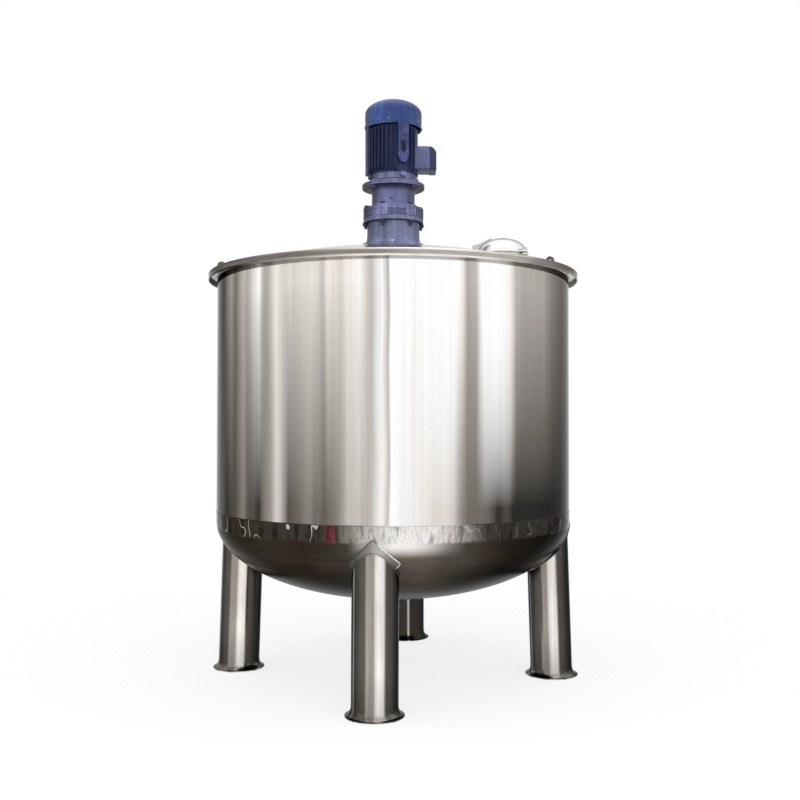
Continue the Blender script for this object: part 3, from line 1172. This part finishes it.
tails = [tail + plan(turn, NUT_CIRCLE) for turn in EAR_CENTRES]
bolt_paint = enamel("bolt_enamel", (0.050, 0.055, 0.110), (0.075, 0.080, 0.150))
dress(surface("ear_bolts", ear_bolts + ear_nuts + tails), bolt_paint)


# Ear bosses: the raised pads cast on each ear, which catch the light as pale boxes.
def boss(turn, radius, width, low, high, stand, edge=0.0015):
    """Pad that stands out from a round casting at a turn, between two heights."""
    shape = slab(rounded_box(width, high - low, width * 0.12, 4), -0.006, stand, edge)
    return placed(shape, plan(turn, radius, (low + high) / 2), plan(turn + 90, 1.0), UP, plan(turn, 1.0))


boss_top = input_low + INPUT_FLANGE * 0.72
bosses = [
    boss(turn, HOUSING - 0.0032, width=0.036, low=ring_low + 0.002, high=boss_top, stand=0.002)
    for turn in EAR_CENTRES
]
boss_paint = enamel("boss_enamel", (0.36, 0.38, 0.66), (0.48, 0.51, 0.80), rounds=(
    (-180, 0.6), (-75, 0.3), (-50, 1.0), (50, 1.0), (75, 0.4), (179, 0.6),
))
dress(surface("ear_bosses", bosses), boss_paint)
PLUG_TURN, PLUG_Z, PLUG_SEAT, PLUG_HEAD = -4.0, 1.619, 0.016, 0.009
seat_ends, head_ends = ((PLUG_Z - width / 2, PLUG_Z + width / 2) for width in (PLUG_SEAT, PLUG_HEAD))
plug_seat = boss(PLUG_TURN, NECK - 0.001, PLUG_SEAT, *seat_ends, stand=0.0035, edge=0.003)
plug_head = boss(PLUG_TURN, NECK, PLUG_HEAD, *head_ends, stand=0.0065)
dress(surface("grease_plug", [plug_seat, plug_head]), gear_paint)


# Motor flange: a disc bolted to the gearbox's plate, with the end shield's ring above it.
SHIELD, PLATE_CIRCLE = 0.0815, 0.0955
motor_plate_low, motor_plate_high = ends_of("motor_flange")
step_z = motor_plate_low + PLATE_THICK
motor_plate_profile = softened([
    (0, motor_plate_high, 0), (SHIELD, motor_plate_high, 0.001), (SHIELD, motor_plate_low + 0.016, 0.003),
    (SHIELD - 0.010, step_z, 0.003), (PLATE, step_z, 0.0015),
    (PLATE, motor_plate_low, 0.001), (0, motor_plate_low, 0),
])
dress(surface("end_shield", turned(motor_plate_profile, 120)), base_paint, ["motor_flange"])
quarters = 45.0 + np.arange(4) * 90.0
plate_bolts = bolt_heads(quarters, PLATE_CIRCLE, step_z, across=0.006)
plate_nuts = bolt_heads(quarters, PLATE_CIRCLE, plate_z, across=0.006, hanging=True)
dress(surface("plate_bolts", plate_bolts + plate_nuts), gear_paint)
lug_low, lug_high = motor_plate_high - 0.017, motor_plate_high - 0.001
shield_lugs = [
    boss(turn, SHIELD - 0.002, width=0.020, low=lug_low, high=lug_high, stand=0.012, edge=0.002)
    for turn in (-67.0, 23.0, 113.0, 203.0)
]
dress(surface("shield_lugs", shield_lugs), gear_paint)


# Motor body: an aluminium frame with upright fins, a smooth rail on the left, bare seats for the
# plate and the terminal box, under deep blue enamel.
MOTOR, CORE, FINS, FRAME_STEPS = 0.0974, 0.0850, 40, 1200
RAIL_TURN, RAIL_SPREAD = -75.0, 26.0
PLATE_TURN, PLATE_HALF_TURN = 20.7, 14.5
BOX_TURN, BOX_HALF_TURN = 90.0, 34.5
body_low, body_high = ends_of("motor_body")


def finned_body():
    """Motor frame: at each turn the radius is the core's, raised to the frame's over each fin by a
    flat-topped wave, all along the rail, and nowhere on the bare seats; fins stop short of the ends."""
    turn = np.degrees(full_turn(FRAME_STEPS))
    phase = np.abs((turn * FINS / 360.0) % 1.0 - 0.5) * 2
    fin = np.clip((0.36 - phase) / 0.16, 0.0, 1.0)

    def away(middle):
        return np.abs((turn - middle + 180.0) % 360.0 - 180.0)

    bare = (away(PLATE_TURN) < PLATE_HALF_TURN) | (away(BOX_TURN) < BOX_HALF_TURN)
    fin = np.where(bare | (away(RAIL_TURN) < RAIL_SPREAD / 2 + 2.0), 0.0, fin)
    rail = np.clip((RAIL_SPREAD / 2 - away(RAIL_TURN)) / 0.8 + 1.0, 0.0, 1.0)
    rise = np.maximum(fin, rail)
    stand = np.array([0.0, 0.0, 0.004, 0.009])
    heights = np.concatenate([body_low + stand, body_high - stand[::-1]])
    share = np.array([-1.0, 0.0, 0.0, 1.0, 1.0, 0.0, 0.0, -1.0])
    share_rail = np.array([-1.0, 1.0, 1.0, 1.0, 1.0, 1.0, 1.0, -1.0])
    amount = np.where(rail[None] > 0, share_rail[:, None] * rail, share[:, None] * rise)
    radius = np.where(share[:, None] < 0, 0.0, CORE + (MOTOR - CORE) * np.maximum(amount, 0.0))
    angle = np.radians(turn)
    level = np.broadcast_to(heights[:, None], radius.shape)
    return np.stack([radius * np.sin(angle), -radius * np.cos(angle), level], -1)


motor_dust = (0.10, 0.11, 0.16)
motor_paint = enamel("motor_enamel", (0.024, 0.032, 0.100), (0.042, 0.052, 0.130), 0.45, dust=motor_dust)
dress(surface("motor_frame", finned_body(), sharp=30.0), motor_paint, ["motor_body"])
POCKET_Z, POCKET_HALF, POCKET_REACH = 1.788, 0.0085, 0.0125


def pad_enamel():
    """Enamel of the side pad, worn paler towards its foot, with dark grime down in its oval pocket."""
    material = enamel("pad_enamel", (0.050, 0.062, 0.210), (0.130, 0.142, 0.330), 0.40)
    tree = material.node_tree
    shader = tree.nodes["Principled BSDF"]
    painted = shader.inputs["Base Color"].links[0].from_socket
    where = own_place(tree)
    height = node(tree, "ShaderNodeSeparateXYZ", {}, {0: where}).outputs[2]
    along = {0: where, 1: plan(PLATE_TURN + 90, 1.0)}
    across = node(tree, "ShaderNodeVectorMath", {"operation": "DOT_PRODUCT"}, along).outputs["Value"]
    off = math_node(tree, "ABSOLUTE", math_node(tree, "SUBTRACT", height, POCKET_Z))
    beyond = math_node(tree, "MAXIMUM", math_node(tree, "SUBTRACT", off, POCKET_REACH), 0.0)
    squares = [math_node(tree, "POWER", length, 2.0) for length in (beyond, across)]
    apart = math_node(tree, "SQRT", math_node(tree, "ADD", *squares))
    worn = lit(tree, painted, between(tree, height, 1.79, 1.74, 0.95, 1.45, True))
    grime = between(tree, apart, POCKET_HALF + 0.0008, POCKET_HALF - 0.0012, 0.0, 1.0, True)
    tree.links.new(blend_colour(tree, grime, worn, (0.006, 0.008, 0.030, 1.0)), shader.inputs["Base Color"])
    return material


pad_piece = bevelled_solid("side_pad", "motor_side_plate", 0.0012)
dress(pad_piece, pad_enamel(), ["motor_side_plate"])


# Terminal box: a cast box with round corners and a screwed cover, bolted on the motor's right side,
# with a cable gland at the back.
BOX_WIDTH, BOX_HEIGHT, BOX_REACH, BOX_LID, BOX_CROWN, BOX_LIP = 0.092, 0.078, 0.148, 0.022, 0.032, 0.0015
box_low, box_high = ends_of("terminal_box")
box_z = (box_low + box_high) / 2
box_out, box_side = plan(BOX_TURN, 1.0), plan(BOX_TURN + 90, 1.0)


def on_box(grid):
    """Grid in the box's own frame: x out from the motor's axis, y up, z across the box."""
    return placed(grid, (0, 0, box_z), box_out, UP, box_side)


def box_outline(inner, outer, lip):
    """Side view between two distances from the axis: its top follows the crown's circle beyond the
    bend, and its lower edges are straight."""
    bend = BOX_REACH - BOX_CROWN
    top_out = outer + (inner - outer) * np.linspace(0.0, 1.0, 24) ** 1.6
    rise = np.sqrt(np.maximum((BOX_CROWN + lip) ** 2 - np.maximum(top_out - bend, 0.0) ** 2, 0.0))
    top = np.stack([top_out, BOX_HEIGHT / 2 - BOX_CROWN + rise], -1)
    low = -BOX_HEIGHT / 2 - lip
    floor_line = np.stack([np.linspace(inner, outer, 8), np.full(8, low)], -1)
    wall = np.stack([np.full(6, outer), np.linspace(low, top[0, 1], 8)[1:-1]], -1)
    return np.concatenate([floor_line, wall, top])


box_face = BOX_REACH - BOX_LID - GAP
box_half = BOX_WIDTH / 2
box_grid = on_box(slab(box_outline(0.060, box_face, 0.0), -box_half, box_half, 0.003, 5))
box_piece = surface("wiring_box", box_grid)
core_profile = post(CORE + GAP, body_low - 0.2, body_high + 0.2)
cut_through(box_piece, surface("core", turned(core_profile, 120)))
face_paint = enamel("box_enamel", (0.150, 0.165, 0.330), (0.230, 0.240, 0.430), 0.40, under=0.9)
dress(box_piece, face_paint, ["terminal_box"])
lid_half = box_half + BOX_LIP
lid_grid = on_box(slab(box_outline(box_face + GAP, BOX_REACH, BOX_LIP), -lid_half, lid_half, 0.0035, 6))
lid_paint = enamel("box_lid_enamel", (0.042, 0.050, 0.122), (0.065, 0.075, 0.160), 0.40, under=1.2)
dress(surface("wiring_box_lid", lid_grid), lid_paint, ["terminal_box_cover"])
rib = slab(rounded_box(0.0045, BOX_HEIGHT * 0.62, 0.002, 4), 0.0, 0.0022, 0.0010) * (1, 1, -1)
ribs = [on_box(rib + (out, -0.008, -box_half + 0.0004)) for out in (0.094, 0.104, 0.114)]
dress(surface("box_ribs", ribs), face_paint)
screw_head = slab(circle(0.0035, 20), -0.0012, 0.0003, 0.0005)[..., [2, 1, 0]]
corners = [(y, z) for y in (-0.033, -0.003) for z in (-0.038, 0.038)]
lid_screws = [on_box(screw_head + (BOX_REACH - 0.0001, y, z)) for y, z in corners]
dress(surface("lid_screws", lid_screws), zinc)
nylon = plain_rubber("black_nylon", (0.03, 0.03, 0.035), 0.35)
dress(bevelled_solid("gland", "cable_gland", 0.0006), nylon, ["cable_gland"])


# Fan cowl: pressed sheet over the fan, with air slots in its crown. Four tabs and eight small
# screws hold its skirt to the motor.
COWL, COWL_WALL, COWL_SKIRT, COWL_DOME, COWL_SLOTS = 0.0985, 0.002, 0.053, 0.049, 16
cowl_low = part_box("fan_cowl")[0].z
cowl_turn = np.linspace(0.0, math.pi / 2, 24)
cowl_inner = COWL - COWL_WALL
skirt_top = cowl_low + COWL_SKIRT
outer_dome = (0.0, skirt_top) + np.stack([COWL * np.sin(cowl_turn), COWL_DOME * np.cos(cowl_turn)], -1)
inner_share = (cowl_inner, COWL_DOME - COWL_WALL)
inner_dome = (0.0, skirt_top) + np.stack([np.sin(cowl_turn), np.cos(cowl_turn)], -1) * inner_share
cowl_edge = softened([(COWL, cowl_low, 0.0006), (cowl_inner, cowl_low, 0.0006)])
cowl_profile = np.concatenate([outer_dome, cowl_edge, inner_dome[::-1]])
cowl_piece = surface("cowl", turned(cowl_profile, 144))
slot_shape = slab(rounded_box(0.005, 0.038, 0.0024), skirt_top + 0.004, skirt_top + COWL_DOME + 0.01, 0.0)
slot_turns = (np.arange(COWL_SLOTS) + 0.5) * 360 / COWL_SLOTS
slots = [
    placed(slot_shape, plan(turn, 0.041), plan(turn + 90, 1.0), plan(turn, 1.0), UP) for turn in slot_turns
]
cut_through(cowl_piece, surface("slots", slots))
cowl_dust = (0.10, 0.13, 0.26)
cowl_paint = enamel("cowl_enamel", (0.034, 0.071, 0.250), (0.058, 0.098, 0.270), 0.36, cowl_dust, (
    (-180, 0.8), (-110, 0.4), (-88, 0.30), (-66, 0.40), (-56, 1.0), (-42, 1.5), (-26, 1.4), (-14, 1.0),
    (20, 0.98), (50, 1.05), (66, 0.8), (88, 0.4), (130, 0.8), (179, 0.8),
))
dress(cowl_piece, cowl_paint, ["fan_cowl"])
tab_turns = 6.0 + np.arange(4) * 90.0
tab_low, tab_high = cowl_low + 0.002, cowl_low + 0.011
cowl_tabs = [
    boss(turn, COWL - 0.005, width=0.009, low=tab_low, high=tab_high, stand=0.0068, edge=0.002)
    for turn in tab_turns
]
dress(surface("cowl_tabs", cowl_tabs), cowl_paint)
screw_turns = [turn + away for turn in tab_turns for away in (-37.0, -15.0)]
screw_low, screw_high = cowl_low + 0.0155, cowl_low + 0.0189
cowl_screws = [
    boss(turn, COWL - 0.0045, width=0.0034, low=screw_low, high=screw_high, stand=0.0055, edge=0.0012)
    for turn in screw_turns
]
dress(surface("cowl_screws", cowl_screws), zinc)
fan_black = plain_rubber("fan_plastic", (0.035, 0.035, 0.04), 0.5)
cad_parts["cooling_fan"].data.materials.clear()
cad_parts["cooling_fan"].data.materials.append(fan_black)


# Agitator: a 40 mm bar with a split sleeve coupling under the lid and a four-blade impeller.
shaft_low, shaft_high = ends_of("agitator_shaft")
shaft_piece = lathed("shaft", [
    (0, shaft_high, 0), (SHAFT_RADIUS, shaft_high, 0.001), (SHAFT_RADIUS, shaft_low, 0.002),
    (0, shaft_low, 0),
], 48, False)
inner_steel = worked_steel("wetted_steel", (0.50, 0.48, 0.46), 0.22, (1.0, 1.0, 4.0), shade=0.08, rough=0.08)
dress(shaft_piece, inner_steel, ["agitator_shaft"])
sleeve_low, sleeve_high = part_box("shaft_coupling")
sleeve_piece = lathed("sleeve", [
    (bore_radius, sleeve_high.z, 0), (sleeve_high.x, sleeve_high.z, 0.003),
    (sleeve_high.x, sleeve_low.z, 0.003), (bore_radius, sleeve_low.z, 0),
], 64)
dress(sleeve_piece, inner_steel, ["shaft_coupling"])
dress(bevelled_solid("impeller_wheel", "impeller", 0.0012), inner_steel, ["impeller"])


# Studio: a plain pale floor, a white room, a large soft lamp at the front right, a smaller one at the
# front left and a wide one overhead. The camera stands where the photograph was taken.
def seen_plainly(tree):
    """1 for rays from the camera, off a mirror or through glass, 0 for the rest."""
    light = node(tree, "ShaderNodeLightPath").outputs
    first = math_node(tree, "MAXIMUM", light["Is Camera Ray"], light["Is Glossy Ray"])
    return math_node(tree, "MAXIMUM", first, light["Is Transmission Ray"])


def floor_material():
    """Pale floor that keeps the tank's shadow and fades to the white of the room around it."""
    material, tree, shader = empty_material("pale_floor")
    seen = seen_plainly(tree)
    glow = node(tree, "ShaderNodeEmission", {}, {"Color": WHITE, "Strength": times(tree, seen, 0.78)})
    matt = node(tree, "ShaderNodeBsdfDiffuse", {}, {"Color": (0.30, 0.30, 0.30, 1.0)})
    near = node(tree, "ShaderNodeAddShader", {}, {0: glow.outputs[0], 1: matt.outputs[0]})
    paleness = math_node(tree, "MULTIPLY_ADD", seen, 0.8, 0.2)
    white = node(tree, "ShaderNodeEmission", {}, {"Color": WHITE, "Strength": paleness})
    far = node(tree, "ShaderNodeVectorMath", {"operation": "LENGTH"}, {0: own_place(tree)}).outputs["Value"]
    faded = between(tree, far, 1.1, 2.4, 0.0, 1.0, True)
    mixed = node(tree, "ShaderNodeMixShader", {}, {0: faded, 1: near.outputs[0], 2: white.outputs[0]})
    tree.links.new(mixed.outputs[0], tree.nodes["Material Output"].inputs["Surface"])
    tree.nodes.remove(shader)
    return material


floor_grid = turned([(0.0, -0.0005), (1.0, -0.0005), (2.5, -0.0005), (30.0, -0.0005)], 96)
floor = surface("floor", floor_grid)
floor.data.materials.append(floor_material())

world = bpy.data.worlds.new("white_room")
world.use_nodes = True
bpy.context.scene.world = world
sky = world.node_tree
sky.nodes["Background"].inputs["Strength"].default_value = 1.0
sky_tone = blend_colour(sky, seen_plainly(sky), (0.60, 0.60, 0.61, 1.0), WHITE)
sky.links.new(sky_tone, sky.nodes["Background"].inputs["Color"])


def soft_lamp(name, turn, distance, z, width, height, radiance, aim, colour=(1.0, 1.0, 1.0)):
    """Area lamp at a turn, aimed at a height on the tank's axis; its power is radiance times pi
    times its area."""
    data = bpy.data.lights.new(name, "AREA")
    data.shape = "RECTANGLE"
    data.size = width
    data.size_y = height
    data.energy = radiance * math.pi * width * height
    data.color = colour
    lamp = bpy.data.objects.new(name, data)
    bpy.context.scene.collection.objects.link(lamp)
    lamp.location = Vector(plan(turn, distance, z))
    lamp.rotation_euler = (Vector((0, 0, aim)) - lamp.location).to_track_quat("-Z", "Y").to_euler()
    lamp.visible_camera = False
    return lamp


window = soft_lamp(
    "window_lamp", turn=20.0, distance=3.2, z=1.6, width=2.4, height=2.0, radiance=1.6,
    colour=(1.0, 1.0, 0.99), aim=1.2,
)
fill = soft_lamp(
    "fill_lamp", turn=-40.0, distance=3.4, z=2.2, width=1.6, height=1.2, radiance=1.6, aim=1.4,
)
window.visible_glossy = fill.visible_glossy = False
soft_lamp("top_lamp", turn=0.0, distance=0.3, z=4.2, width=3.0, height=3.0, radiance=0.9, aim=0.0)

CAMERA_SPOT = (0.0116, -3.4631, 0.854)
CAMERA_PITCH, CAMERA_YAW, CAMERA_ROLL = 0.0216, 0.0035, -0.0007
FOCAL_SHARE, SENSOR = 1001.1 / 800, 36.0
lens = bpy.data.cameras.new("camera")
lens.sensor_width = SENSOR
lens.lens = FOCAL_SHARE * SENSOR
camera = bpy.data.objects.new("camera", lens)
bpy.context.scene.collection.objects.link(camera)
camera.location = CAMERA_SPOT
camera.rotation_euler = (math.pi / 2 + CAMERA_PITCH, CAMERA_ROLL, -CAMERA_YAW)
bpy.context.scene.camera = camera
bpy.context.scene.view_settings.view_transform = "Standard"
